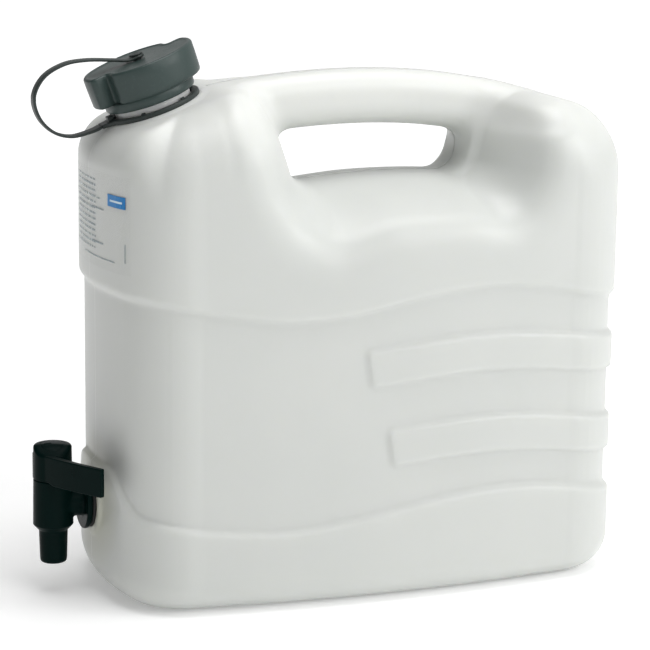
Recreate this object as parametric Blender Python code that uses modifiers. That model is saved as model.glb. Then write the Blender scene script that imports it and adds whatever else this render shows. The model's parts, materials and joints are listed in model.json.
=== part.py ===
"""Ten-litre water canister with a captive screw cap and a drain tap.

Blender 4.5 script, metres, +Z up. The tank's front, with the tap, faces -X, and Y = 0 is the
mould's parting plane. Lengths along the tank are counted from the tank's middle, and TANK_X
puts that middle where the whole object's box is centred on the origin.
"""
import math

import bmesh
import bpy
from mathutils import Matrix, Vector

# Driving dimensions ------------------------------------------------------------------------
TANK_LENGTH = 0.320         # front to back of the recessed waist
TANK_WIDTH = 0.1606         # side to side of the recessed waist
CORNER_RADIUS = 0.050       # upright corners, seen from above
SIDE_CROWN = 0.0071         # how far the broad sides bow out
END_CROWN = 0.0034          # how far the front and back bow out
BAND = 0.0032               # how far the upper and lower bands stand proud of the waist
WALL = 0.0020
FLOOR = 0.0040              # the base is thicker, and its two cross channels take half of it
BASE_RADIUS = 0.0225        # rounding between walls and base
CREST_HEIGHT = 0.3103       # top of the handle
CREST_X = 0.005             # where the handle is highest
GAP = 0.0003                # clearance between pieces that touch

HANDLE_WIDTH = 0.035
HANDLE_DEPTH = 0.033
HANDLE_EDGE = 0.013
FLARE_RADIUS = 0.121        # sweep of the finger space from the middle out to the sides

RIB_HEIGHT = 0.024          # the two grip ribs round the back
RIB_SLOPE = 0.0022          # height of a rib's sloping edge
RIB_SINK = 0.0010           # how deep a rib's foot lies in the wall
RIB_TAPER = 0.0060          # how much lower each half of a rib is at its ends
UPPER_RIB_START = -0.020
LOWER_RIB_START = -0.006
GROOVES = (-0.0945, 0.0970)  # channels across the base
GROOVE_RADIUS = 0.027

NECK_TILT = math.radians(20.0)
NECK_X = -0.1232            # middle of the neck's seat
SEAT_HEIGHT = 0.2893
NECK_RADIUS = 0.0230
BORE_RADIUS = 0.0195
NECK_HEIGHT = 0.0255
SEAT_RADIUS = 0.0290        # flat step round the neck, where the tether's ring lies

CAP_RADIUS = 0.0282
CAP_LOBE = 0.0063           # how far a finger lobe stands out of the cap
CAP_TOP = 0.0310            # above the seat
CAP_SHOULDER = 0.0125       # where the narrow skirt meets the wide part
CAP_SKIRT = 0.0063          # the skirt's lower edge
SKIRT_RADIUS = 0.0263
CAP_INSIDE = 0.0238
CAP_ROOF = 0.0032

RING_INNER = 0.0240
RING_OUTER = 0.0282
RING_THICK = 0.0030
TAB_REACH = 0.0060          # how far the ring's tab stands out towards the strap
TAB_ROOT = 0.0027           # how far the tab runs into the ring
TAB_FLARE = 0.0020          # how much wider the tab's root is on each side
STRAP_WIDTH = 0.0062
STRAP_THICK = 0.0014
BUTTON_RADIUS = 0.0042
STEM_RADIUS = 0.0022

TAP_HEIGHT = 0.056          # inlet axis above the base
TAP_REACH = 0.0228          # from the boss's face to the barrel's axis
BARREL_TOP = 0.0705
BARREL_FOOT = 0.0427
BARREL_RADIUS = 0.0116
SPOUT_RADIUS = 0.0084
SPOUT_FOOT = 0.0193
SPOUT_BORE = 0.0060
INLET_RADIUS = 0.0095
INLET_BORE = 0.0075
FLANGE_RADIUS = 0.0175
FLANGE_THICK = 0.0030
INLET_REACH = 0.0150        # how far the inlet tube goes into the tank
BUSH_RADIUS = 0.0145        # thick collar inside the wall, which holds the inlet tube
PAD_RADIUS = 0.0195         # flat boss outside the wall, under the gasket
GASKET_THICK = 0.0022
PLUG_RADIUS = 0.0086
PLUG_FOOT = 0.0453
PORT_RADIUS = 0.0050        # the plug's side port
LEVER_TOP = 0.0912
ARM_TOP = 0.0866
ARM_THICK = 0.0042

LABEL_HALF = 0.0565         # half the film's width round the front
LABEL_LOW = 0.200
LABEL_HIGH = 0.256
LABEL_THICK = 0.0004

STRAP_REACH = 0.1990        # from the tank's middle to the front of the strap's loop
TANK_X = (STRAP_REACH - TANK_LENGTH / 2 - BAND) / 2
FRONT_FACE = -TANK_LENGTH / 2 - BAND
BOSS_FACE = FRONT_FACE - 0.0006


# Helpers -----------------------------------------------------------------------------------
def clear_scene():
    for thing in list(bpy.data.objects):
        bpy.data.objects.remove(thing, do_unlink=True)


def new_collection(name):
    group = bpy.data.collections.new(name)
    bpy.context.scene.collection.children.link(group)
    return group


def material(name, colour, roughness, metallic=0.0):
    mat = bpy.data.materials.new(name)
    mat.use_nodes = True
    shader = mat.node_tree.nodes["Principled BSDF"]
    shader.inputs["Base Color"].default_value = (*colour, 1.0)
    shader.inputs["Roughness"].default_value = roughness
    shader.inputs["Metallic"].default_value = metallic
    return mat


def add_object(name, data, group, mat=None):
    thing = bpy.data.objects.new(name, data)
    group.objects.link(thing)
    if mat is not None:
        data.materials.append(mat)
    return thing


def mesh_object(name, verts, faces, group, mat=None):
    """An object from points and faces, with every face turned outwards."""
    mesh = bpy.data.meshes.new(name)
    mesh.from_pydata([tuple(v) for v in verts], [], faces)
    form = bmesh.new()
    form.from_mesh(mesh)
    bmesh.ops.recalc_face_normals(form, faces=form.faces)
    form.to_mesh(mesh)
    form.free()
    return add_object(name, mesh, group, mat)


def as_cutter(thing):
    thing.hide_render = True
    thing.display_type = "WIRE"
    return thing


def boolean(target, tool, operation):
    cut = target.modifiers.new(tool.name, "BOOLEAN")
    cut.operation = operation
    cut.solver = "EXACT"
    cut.object = tool


def loft(name, rings, group, mat=None):
    """A closed body through rings of equally many points, with flat ends."""
    count = len(rings[0])
    verts = [point for ring in rings for point in ring]
    faces = []
    for row in range(len(rings) - 1):
        for i in range(count):
            j = (i + 1) % count
            low, high = row * count, (row + 1) * count
            faces.append((low + i, low + j, high + j, high + i))
    faces.append(tuple(range(count)))
    faces.append(tuple(range(len(verts) - count, len(verts))))
    return mesh_object(name, verts, faces, group, mat)


def turned(name, profile, group, mat=None, steps=32, closed=False):
    """A profile of (radius, height) points turned about Z, listed down its outer side."""
    edges = [(i, i + 1) for i in range(len(profile) - 1)]
    if closed:
        edges.append((len(profile) - 1, 0))
    mesh = bpy.data.meshes.new(name)
    mesh.from_pydata([(r, 0.0, z) for r, z in profile], edges, [])
    thing = add_object(name, mesh, group, mat)
    screw = thing.modifiers.new("turn", "SCREW")
    screw.steps = steps
    screw.render_steps = steps
    screw.use_merge_vertices = True
    screw.merge_threshold = 0.00002
    return thing


def outline_body(name, points, thickness, group, mat=None):
    """A flat outline in local XY made solid, half of thickness to each side."""
    curve = bpy.data.curves.new(name + "_outline", "CURVE")
    curve.dimensions = "2D"
    curve.fill_mode = "BOTH"
    curve.extrude = thickness / 2
    spline = curve.splines.new("POLY")
    spline.points.add(len(points) - 1)
    for spot, (x, y) in zip(spline.points, points):
        spot.co = (x, y, 0.0, 1.0)
    spline.use_cyclic_u = True
    return curve_to_mesh(name, curve, group, mat)


def curve_to_mesh(name, curve, group, mat=None):
    """The curve's evaluated shape as a welded mesh object."""
    holder = bpy.data.objects.new(name + "_curve", curve)
    bpy.context.scene.collection.objects.link(holder)
    depsgraph = bpy.context.evaluated_depsgraph_get()
    mesh = bpy.data.meshes.new_from_object(holder.evaluated_get(depsgraph))
    mesh.name = name
    form = bmesh.new()
    form.from_mesh(mesh)
    bmesh.ops.remove_doubles(form, verts=form.verts, dist=0.00001)
    bmesh.ops.recalc_face_normals(form, faces=form.faces)
    form.to_mesh(mesh)
    form.free()
    bpy.data.objects.remove(holder, do_unlink=True)
    return add_object(name, mesh, group, mat)


def cylinder(name, radius, low, high, group, segments=32, axis="Z"):
    """A plain cylinder between two stations on an axis, through the origin."""
    mesh = bpy.data.meshes.new(name)
    form = bmesh.new()
    bmesh.ops.create_cone(form, cap_ends=True, segments=segments, radius1=radius,
                          radius2=radius, depth=high - low)
    bmesh.ops.translate(form, verts=form.verts, vec=(0, 0, (low + high) / 2))
    if axis == "X":
        bmesh.ops.rotate(form, verts=form.verts, cent=(0, 0, 0),
                         matrix=Matrix.Rotation(math.radians(90), 3, "Y"))
    if axis == "Y":
        bmesh.ops.rotate(form, verts=form.verts, cent=(0, 0, 0),
                         matrix=Matrix.Rotation(math.radians(-90), 3, "X"))
    form.to_mesh(mesh)
    form.free()
    return add_object(name, mesh, group)


def shade_round(thing, angle=35.0):
    thing.data.shade_smooth()
    thing.data.set_sharp_from_angle(angle=math.radians(angle))


def smoothstep(low, high, value):
    t = min(max((value - low) / (high - low), 0.0), 1.0)
    return t * t * (3 - 2 * t)


def mix(a, b, share):
    return a + (b - a) * share


# The tank's surface ------------------------------------------------------------------------
def plan_outline(corner_steps=6, side_steps=8, end_steps=4):
    """(point, outward normal) pairs round the waist, from the middle of the front, anticlockwise.

    The points lie on the corner arcs' centre line, CORNER_RADIUS inside the wall.
    """
    half_x = TANK_LENGTH / 2 - CORNER_RADIUS
    half_y = TANK_WIDTH / 2 - CORNER_RADIUS
    sides = [
        (Vector((-half_x, 0)), Vector((0, -1)), Vector((-1, 0)), half_y, END_CROWN, end_steps),
        (Vector((0, -half_y)), Vector((1, 0)), Vector((0, -1)), half_x, SIDE_CROWN, side_steps),
        (Vector((half_x, 0)), Vector((0, 1)), Vector((1, 0)), half_y, END_CROWN, end_steps),
        (Vector((0, half_y)), Vector((-1, 0)), Vector((0, 1)), half_x, SIDE_CROWN, side_steps),
    ]

    def side_point(side, t):
        middle, along, outward, half, crown, _ = side
        normal = (outward + along * (2 * crown * t / half)).normalized()
        return middle + along * (half * t) - outward * (crown * t * t), normal

    outline = []
    for number, side in enumerate(sides):
        for step in range(side[5] + 1):
            outline.append(side_point(side, -1 + 2 * step / side[5]))
        start, start_normal = side_point(side, 1)
        end, end_normal = side_point(sides[(number + 1) % 4], -1)
        turn = start_normal.angle_signed(end_normal)
        for step in range(1, corner_steps):
            share = step / corner_steps
            angle = -turn * share
            normal = Matrix.Rotation(angle, 2) @ start_normal
            outline.append((start.lerp(end, share), normal))
    first = end_steps // 2
    return outline[first:] + outline[:first]


def crest(x):
    """Height of the tank's ridge at x from the tank's middle."""
    seat = SEAT_HEIGHT + math.tan(NECK_TILT) * (x - NECK_X)
    if x < CREST_X:
        arch = CREST_HEIGHT - 0.90 * (x - CREST_X) ** 2
    else:
        arch = CREST_HEIGHT - 1.25 * (x - CREST_X) ** 2
    return mix(seat, arch, smoothstep(-0.103, -0.083, x))


def upper_edge(x):
    """Height of the upper band's wavy lower edge."""
    return 0.178 - 0.0075 * math.cos(2 * math.pi * (x + 0.058) / 0.236)


def lower_edge(x, y):
    """Height of the lower band's wavy upper edge, which arches over the tap's boss."""
    wave = 0.0558 - 0.008 * math.cos(2 * math.pi * (x + 0.072) / 0.282)
    arch = 0.022 * (1 - smoothstep(0.026, 0.062, abs(y))) * smoothstep(-0.135, -0.155, x)
    return wave + arch


def wall_point(spot, grow, height):
    base, normal = spot
    point = base + normal * (CORNER_RADIUS + grow)
    return Vector((point.x, point.y, height))


def base_rows(outline, grow, floor, radius, steps):
    rows = []
    for step in range(steps + 1):
        angle = math.radians(90) * step / steps
        inset = radius * (1 - math.sin(angle))
        height = floor + radius * (1 - math.cos(angle))
        rows.append([wall_point(spot, grow - inset, height) for spot in outline])
    return rows


def shoulder_rows(outline, grow, drop, steps):
    """Rows that turn from the upright walls over to the ridge."""
    rows = []
    for step in range(steps + 1):
        angle = math.radians(90) * step / steps
        row = []
        for spot in outline:
            front = smoothstep(0.55, 0.97, -spot[1].x)
            reach = mix(0.042, 0.0175, front)
            rise = mix(0.0435, 0.024, front)
            top = wall_point(spot, grow - reach, 0)
            ridge = crest(top.x) - drop
            inset = reach * (1 - math.cos(angle))
            row.append(wall_point(spot, grow - inset, ridge - rise * (1 - math.sin(angle))))
        rows.append(row)
    return rows


def closed_tank(name, rows, group, mat=None):
    """Rows stacked from base to ridge, closed by a flat base and strips across the ridge."""
    count = len(rows[0])
    verts = [point + Vector((TANK_X, 0, 0)) for row in rows for point in row]
    faces = [tuple(range(count))]
    for row in range(len(rows) - 1):
        for i in range(count):
            j = (i + 1) % count
            faces.append((row * count + i, row * count + j, (row + 1) * count + j,
                          (row + 1) * count + i))
    last = (len(rows) - 1) * count
    half = count // 2
    for i in range(half):
        near, far = (i, i + 1), ((count - i) % count, count - i - 1)
        corners = [last + near[0], last + near[1], last + far[1], last + far[0]]
        faces.append(tuple(dict.fromkeys(corners)))
    return mesh_object(name, verts, faces, group, mat)


def waist_rows(outline, shift):
    """Rows along the wavy edges of the lower and the upper band, shift outside the tank's skin."""
    points = [wall_point(spot, 0, 0) for spot in outline]
    low = [lower_edge(p.x, p.y) for p in points]
    high = [upper_edge(p.x) for p in points]
    levels = ((BAND, low, -0.002), (0.0, low, 0.002), (0.0, high, 0.0), (BAND, high, 0.005))
    return [[wall_point(spot, grow + shift, edge + offset) for spot, edge in zip(outline, edges)]
            for grow, edges, offset in levels]


def tank_outside(group, mat):
    outline = plan_outline()
    rows = base_rows(outline, BAND, 0.0, BASE_RADIUS, 4)
    rows += waist_rows(outline, 0.0)
    rows += shoulder_rows(outline, BAND, 0.0, 4)
    return closed_tank("canister_body", rows, group, mat)


def tank_inside(group):
    outline = plan_outline(corner_steps=4, side_steps=6, end_steps=2)
    rows = base_rows(outline, BAND - WALL, FLOOR, BASE_RADIUS - WALL, 3)
    rows += waist_rows(outline, -WALL)
    rows += shoulder_rows(outline, BAND - WALL, WALL, 3)
    return as_cutter(closed_tank("cavity", rows, group))


# Handle and finger space -------------------------------------------------------------------
def finger_outline():
    """The finger space in the parting plane, as (x, z) points, open above the handle."""
    left = [(-0.082, 0.335), (-0.068, 0.297), (-0.053, 0.275), (-0.0465, 0.256)]
    left += [(-0.0445, 0.2488), (-0.039, 0.2445)]
    floor = [(x, 0.2475 - 0.95 * (x - 0.028) ** 2) for x in (-0.022, 0.003, 0.028, 0.048)]
    right = [(0.060, 0.2472), (0.0655, 0.2505), (0.0675, 0.257), (0.071, 0.275)]
    right += [(0.082, 0.293), (0.099, 0.306), (0.118, 0.335)]
    return left + floor + right


def spread_outline(points, distance):
    """The open chain of points moved sideways, out of the space that it bounds."""
    moved = []
    for i, (x, z) in enumerate(points):
        before = Vector(points[max(i - 1, 0)])
        after = Vector(points[min(i + 1, len(points) - 1)])
        along = (after - before).normalized()
        moved.append((x + along.y * distance, z - along.x * distance))
    return moved


def finger_space(name, wall, group):
    """The space under the handle, flaring towards both sides; wall widens it all round."""
    rings = []
    for y in (-0.092, -0.074, -0.054, -0.034, -0.012, 0.012, 0.034, 0.054, 0.074, 0.092):
        flare = FLARE_RADIUS - math.sqrt(FLARE_RADIUS ** 2 - y ** 2)
        chain = spread_outline(finger_outline(), flare + wall)
        rings.append([Vector((TANK_X + x, y, z)) for x, z in chain])
    return as_cutter(loft(name, rings, group))


def handle_bar(name, inset, start, end, group):
    """The grip: a rounded bar that follows the ridge just below it."""
    half = HANDLE_WIDTH / 2 - inset
    depth = HANDLE_DEPTH - 2 * inset
    radius = HANDLE_EDGE - inset
    rings = []
    for step in range(11):
        x = mix(start, end, step / 10)
        top = crest(x) - 0.0004 - inset
        ring = []
        for quarter, (side, level) in enumerate(((1, -radius), (-1, -radius),
                                                 (-1, radius - depth), (1, radius - depth))):
            for part in range(4):
                angle = math.radians(90 * quarter + 30 * part)
                y = side * (half - radius) + radius * math.cos(angle)
                ring.append(Vector((TANK_X + x, y, top + level + radius * math.sin(angle))))
        rings.append(ring)
    return as_cutter(loft(name, rings, group))


# Tank --------------------------------------------------------------------------------------
def finger_rib(name, start, rise, group):
    """A grip rib, almost level with the bands, from one broad side round the back to the other."""
    chain = plan_outline(corner_steps=5, side_steps=10)
    kept = [spot for spot in chain if wall_point(spot, 0, 0).x > start]
    rings = []
    for number, spot in enumerate(kept):
        end = number in (0, len(kept) - 1)
        half = RIB_HEIGHT / 2 - (RIB_TAPER if end else 0.0)
        proud = RIB_SINK if end else BAND - RIB_SINK / 2
        middle = rise(wall_point(spot, 0, 0).x)
        rings.append([
            wall_point(spot, -RIB_SINK, middle - half),
            wall_point(spot, proud, middle - half + RIB_SLOPE),
            wall_point(spot, proud, middle + half - RIB_SLOPE),
            wall_point(spot, -RIB_SINK, middle + half),
        ])
    for ring in rings:
        for point in ring:
            point.x += TANK_X
    return as_cutter(loft(name, rings, group))


def upper_rib(x):
    return 0.1440 - 0.011 * x - 0.0045 * math.cos(2 * math.pi * (x + 0.055) / 0.236)


def lower_rib(x):
    return 0.0953 - 0.031 * x - 0.0045 * math.cos(2 * math.pi * (x + 0.048) / 0.236)


def base_groove(name, x, group):
    """A shallow channel across the underside."""
    tool = cylinder(name, GROOVE_RADIUS, -TANK_WIDTH, TANK_WIDTH, group, 40, "Y")
    tool.location = (TANK_X + x, 0, FLOOR / 2 - GROOVE_RADIUS)
    return as_cutter(tool)


def build_tank(parts, tools, plastic, neck_axis):
    body = tank_outside(parts, plastic)
    cavity = tank_inside(tools)
    boolean(cavity, finger_space("finger_space_wall", WALL, tools), "DIFFERENCE")
    boolean(cavity, handle_bar("grip_hollow", WALL, -0.104, 0.132, tools), "UNION")
    bush = as_cutter(cylinder("tap_bush", BUSH_RADIUS, -0.020, 0.013, tools, 24, "X"))
    bush.location = (BOSS_FACE + TANK_X, 0, TAP_HEIGHT)
    boolean(cavity, bush, "DIFFERENCE")

    boolean(body, finger_space("finger_space", 0.0, tools), "DIFFERENCE")
    boolean(body, handle_bar("grip", 0.0, -0.098, 0.126, tools), "UNION")
    boolean(body, finger_rib("upper_finger_rib", UPPER_RIB_START, upper_rib, tools), "UNION")
    boolean(body, finger_rib("lower_finger_rib", LOWER_RIB_START, lower_rib, tools), "UNION")

    step = as_cutter(cylinder("neck_step", SEAT_RADIUS + 0.0008, -0.009, -0.0004, tools, 40))
    seat = as_cutter(cylinder("ring_seat", SEAT_RADIUS, -0.0002, 0.030, tools, 40))
    neck = as_cutter(cylinder("neck", NECK_RADIUS, -0.010, NECK_HEIGHT, tools, 40))
    for tool, operation in ((step, "UNION"), (seat, "DIFFERENCE"), (neck, "UNION")):
        tool.parent = neck_axis
        boolean(body, tool, operation)
    pad = as_cutter(cylinder("tap_pad", PAD_RADIUS, 0.0, 0.006, tools, 32, "X"))
    pad.location = (BOSS_FACE + TANK_X, 0, TAP_HEIGHT)
    boolean(body, pad, "UNION")
    boolean(body, cavity, "DIFFERENCE")

    bore = as_cutter(cylinder("neck_bore", BORE_RADIUS, -0.022, 0.040, tools, 32))
    bore.parent = neck_axis
    boolean(body, bore, "DIFFERENCE")
    socket = as_cutter(cylinder("tap_socket", INLET_RADIUS + GAP, -0.005, 0.030, tools, 24, "X"))
    socket.location = (BOSS_FACE + TANK_X, 0, TAP_HEIGHT)
    boolean(body, socket, "DIFFERENCE")
    for number, x in enumerate(GROOVES):
        boolean(body, base_groove("base_groove_%d" % number, x, tools), "DIFFERENCE")
    return body


# Cap and tether ----------------------------------------------------------------------------
def cap_radius(angle):
    """Two finger lobes, half a turn apart, that swell slowly and end in a step."""
    turn = math.degrees(angle) % 180.0
    swell = smoothstep(-75.0, 12.0, turn if turn < 100 else turn - 180)
    step = 1 - smoothstep(16.0, 40.0, turn if turn < 100 else turn - 180)
    return CAP_RADIUS + CAP_LOBE * swell * step


def cap_outline(steps=60):
    angles = [2 * math.pi * i / steps for i in range(steps)]
    return [(cap_radius(a) * math.cos(a), cap_radius(a) * math.sin(a)) for a in angles]


def build_cap(parts, tools, plastic, foam, neck_axis):
    height = CAP_TOP - CAP_SHOULDER
    cap = outline_body("screw_cap", cap_outline(), height, parts, plastic)
    for vert in cap.data.vertices:
        vert.co.z += (CAP_TOP + CAP_SHOULDER) / 2
    bevel = cap.modifiers.new("round_rim", "BEVEL")
    bevel.width = 0.0012
    bevel.segments = 2
    bevel.limit_method = "ANGLE"
    bevel.angle_limit = math.radians(50)
    skirt = as_cutter(cylinder("cap_skirt", SKIRT_RADIUS, CAP_SKIRT, 0.020, tools, 48))
    inside = as_cutter(cylinder("cap_hollow", CAP_INSIDE, 0.0, CAP_TOP - CAP_ROOF, tools, 40))
    eye = as_cutter(cylinder("button_eye", STEM_RADIUS + GAP, 0.020, 0.040, tools, 16))
    for tool in (skirt, inside, eye):
        tool.parent = neck_axis
    boolean(cap, skirt, "UNION")
    boolean(cap, inside, "DIFFERENCE")
    boolean(cap, eye, "DIFFERENCE")
    cap.parent = neck_axis

    top = CAP_TOP - CAP_ROOF - GAP
    hole = STEM_RADIUS + 0.0020
    seal = turned("cap_seal", [(hole, top), (CAP_INSIDE - 0.0010, top),
                               (CAP_INSIDE - 0.0010, top - 0.0015), (hole, top - 0.0015)],
                  parts, foam, closed=True)
    seal.parent = neck_axis


def strap_line():
    """Middle line of the strap in the parting plane, from the button round to the ring."""
    down = Vector((math.sin(NECK_TILT), -math.cos(NECK_TILT)))
    back = Vector((math.cos(NECK_TILT), math.sin(NECK_TILT)))
    seat = Vector((NECK_X, SEAT_HEIGHT))
    button = seat - down * (CAP_TOP + GAP + STRAP_THICK / 2)
    tip = STRAP_REACH - STRAP_THICK / 2
    route = [button + back * 0.0040, button, button - back * 0.0060, Vector((-0.1490, 0.3178)),
             Vector((-0.1650, 0.3181)), Vector((-0.1795, 0.3160)), Vector((-0.1920, 0.3090)),
             Vector((-tip, 0.2975)), Vector((-0.1950, 0.2855)), Vector((-0.1860, 0.2772)),
             Vector((-0.1745, 0.2745))]
    end = seat - down * (GAP + RING_THICK / 2) - back * (RING_OUTER + TAB_REACH + GAP)
    route += [end - back * 0.006 - Vector((0, 0.0004)), end]
    line = []
    for i in range(len(route) - 1):
        before = route[max(i - 1, 0)]
        after = route[min(i + 2, len(route) - 1)]
        for third in range(3):
            line.append(catmull(before, route[i], route[i + 1], after, third / 3))
    line.append(route[-1])
    return line


def catmull(a, b, c, d, t):
    return 0.5 * (2 * b + (c - a) * t + (2 * a - 5 * b + 4 * c - d) * t ** 2
                  + (3 * b - a - 3 * c + d) * t ** 3)


def thick_line(line, thickness):
    """Outline of a ribbon of even thickness along a line in the plane."""
    left, right = [], []
    for i, spot in enumerate(line):
        along = (line[min(i + 1, len(line) - 1)] - line[max(i - 1, 0)]).normalized()
        side = Vector((-along.y, along.x)) * (thickness / 2)
        left.append(spot + side)
        right.append(spot - side)
    return [tuple(p) for p in left + right[::-1]]


def build_tether(parts, tools, plastic, neck_axis):
    ring = turned("tether_ring", [(RING_INNER, GAP + RING_THICK), (RING_OUTER, GAP + RING_THICK),
                                  (RING_OUTER, GAP), (RING_INNER, GAP)],
                  parts, plastic, 40, closed=True)
    tip = -RING_OUTER - TAB_REACH
    root = -RING_OUTER + TAB_ROOT
    half = STRAP_WIDTH / 2
    tab = outline_body("tether_tab", [(tip, -half), (root, -half - TAB_FLARE),
                                      (root, half + TAB_FLARE), (tip, half)],
                       RING_THICK - 2 * GAP, tools)
    tab.location = (0, 0, GAP + RING_THICK / 2)
    as_cutter(tab)
    tab.parent = neck_axis
    boolean(ring, tab, "UNION")
    ring.parent = neck_axis

    strap = outline_body("tether_strap", thick_line(strap_line(), STRAP_THICK), STRAP_WIDTH,
                         parts, plastic)
    strap.rotation_euler = (math.radians(90), 0, 0)
    strap.location = (TANK_X, 0, 0)
    eye = as_cutter(cylinder("strap_eye", STEM_RADIUS + GAP, 0.020, 0.040, tools, 16))
    eye.parent = neck_axis
    boolean(strap, eye, "DIFFERENCE")

    head = CAP_TOP + 2 * GAP + STRAP_THICK
    roof = CAP_TOP - CAP_ROOF - GAP
    button = turned("tether_button", [
        (0.0, head + 0.0011), (BUTTON_RADIUS * 0.7, head + 0.0011),
        (BUTTON_RADIUS, head + 0.0004), (BUTTON_RADIUS, head), (STEM_RADIUS, head),
        (STEM_RADIUS, roof), (STEM_RADIUS + 0.0012, roof),
        (STEM_RADIUS + 0.0002, roof - 0.0013), (0.0, roof - 0.0013)], parts, plastic, 20)
    button.parent = neck_axis


# Tap ---------------------------------------------------------------------------------------
def build_tap_housing(parts, tools, plastic, tap_axis):
    housing = turned("tap_housing", [
        (0.0, BARREL_TOP), (BARREL_RADIUS - 0.0005, BARREL_TOP),
        (BARREL_RADIUS, BARREL_TOP - 0.0005), (BARREL_RADIUS + 0.0005, BARREL_FOOT),
        (SPOUT_RADIUS + 0.0008, BARREL_FOOT - 0.0030), (SPOUT_RADIUS, BARREL_FOOT - 0.0036),
        (SPOUT_RADIUS - 0.0004, SPOUT_FOOT + 0.0014), (SPOUT_RADIUS - 0.0014, SPOUT_FOOT),
        (0.0, SPOUT_FOOT)], parts, plastic)
    gasket_face = TAP_REACH - GAP - GASKET_THICK
    inlet = cylinder("tap_inlet", INLET_RADIUS, 0.004, TAP_REACH + INLET_REACH, tools, 24, "X")
    flange = cylinder("tap_flange", FLANGE_RADIUS, gasket_face - GAP - FLANGE_THICK,
                      gasket_face - GAP, tools, 32, "X")
    plug_bore = cylinder("plug_bore", PLUG_RADIUS + GAP, 0.0450, 0.080, tools, 32)
    spout_bore = cylinder("spout_bore", SPOUT_BORE, 0.010, 0.050, tools, 24)
    inlet_bore = cylinder("inlet_bore", INLET_BORE, 0.0, TAP_REACH + 0.020, tools, 24, "X")
    for tool in (inlet, flange, inlet_bore):
        tool.location = (0, 0, TAP_HEIGHT)
    for tool in (inlet, flange, plug_bore, spout_bore, inlet_bore):
        as_cutter(tool)
        tool.parent = tap_axis
    boolean(housing, inlet, "UNION")
    boolean(housing, flange, "UNION")
    for tool in (plug_bore, spout_bore, inlet_bore):
        boolean(housing, tool, "DIFFERENCE")
    housing.parent = tap_axis


def build_gasket(parts, rubber, tap_axis):
    far = TAP_REACH - GAP
    near = far - GASKET_THICK
    gasket = turned("tap_gasket", [(INLET_RADIUS + GAP, far), (FLANGE_RADIUS - 0.0006, far),
                                   (FLANGE_RADIUS - 0.0006, near), (INLET_RADIUS + GAP, near)],
                    parts, rubber, closed=True)
    gasket.rotation_euler = (0, math.radians(90), 0)
    gasket.location = (0, 0, TAP_HEIGHT)
    gasket.parent = tap_axis


def arm_outline():
    """The lever's blade seen from above: it leaves the hub's front and sweeps to the side."""
    outer = []
    for step in range(9):
        t = step / 8
        outer.append(Vector((mix(-0.0114, 0.0162, t ** 1.25), mix(0.0010, -0.0490, t))))
    inner = []
    for step in range(9):
        t = step / 8
        along = (outer[min(step + 1, 8)] - outer[max(step - 1, 0)]).normalized()
        thick = mix(ARM_THICK + 0.0012, ARM_THICK - 0.0010, t)
        inner.append(outer[step] + Vector((-along.y, along.x)) * thick)
    return [tuple(p) for p in outer + inner[::-1]]


def build_lever(parts, tools, plastic, tap_axis):
    floor = BARREL_TOP + GAP
    hub = BARREL_RADIUS - 0.0002
    lever = turned("tap_lever", [
        (0.0, LEVER_TOP + 0.0008), (hub * 0.6, LEVER_TOP + 0.0005), (hub - 0.0016, LEVER_TOP),
        (hub, LEVER_TOP - 0.0018), (hub, floor), (PLUG_RADIUS, floor),
        (PLUG_RADIUS, PLUG_FOOT + 0.0007), (PLUG_RADIUS - 0.0005, PLUG_FOOT), (0.0, PLUG_FOOT)],
        parts, plastic)
    blade = outline_body("lever_blade", arm_outline(), ARM_TOP - floor, tools)
    blade.location = (0, 0, (ARM_TOP + floor) / 2)
    hollow = cylinder("plug_hollow", SPOUT_BORE, 0.030, 0.066, tools, 24)
    port = cylinder("plug_port", PORT_RADIUS, 0.0, 0.020, tools, 20, "Y")
    port.location = (0, 0, TAP_HEIGHT)
    for tool in (blade, hollow, port):
        as_cutter(tool)
        tool.parent = tap_axis
    boolean(lever, blade, "UNION")
    boolean(lever, hollow, "DIFFERENCE")
    boolean(lever, port, "DIFFERENCE")
    lever.parent = tap_axis


# Label -------------------------------------------------------------------------------------
def build_label(parts, film):
    """A thin printed film wrapped round the front of the upper band."""
    chain = plan_outline(corner_steps=8, end_steps=8)
    front = [spot for spot in chain if spot[1].x < 0 and abs(wall_point(spot, BAND, 0).y) < LABEL_HALF]
    front.sort(key=lambda spot: wall_point(spot, BAND, 0).y)
    rings = []
    for spot in front:
        near, far = BAND + GAP, BAND + GAP + LABEL_THICK
        rings.append([wall_point(spot, near, LABEL_LOW), wall_point(spot, far, LABEL_LOW),
                      wall_point(spot, far, LABEL_HIGH), wall_point(spot, near, LABEL_HIGH)])
    for ring in rings:
        for point in ring:
            point.x += TANK_X
    loft("front_label", rings, parts, film)


# Assembly ----------------------------------------------------------------------------------
def new_empty(name, location, rotation, group):
    empty = bpy.data.objects.new(name, None)
    group.objects.link(empty)
    empty.location = location
    empty.rotation_euler = rotation
    return empty


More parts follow.
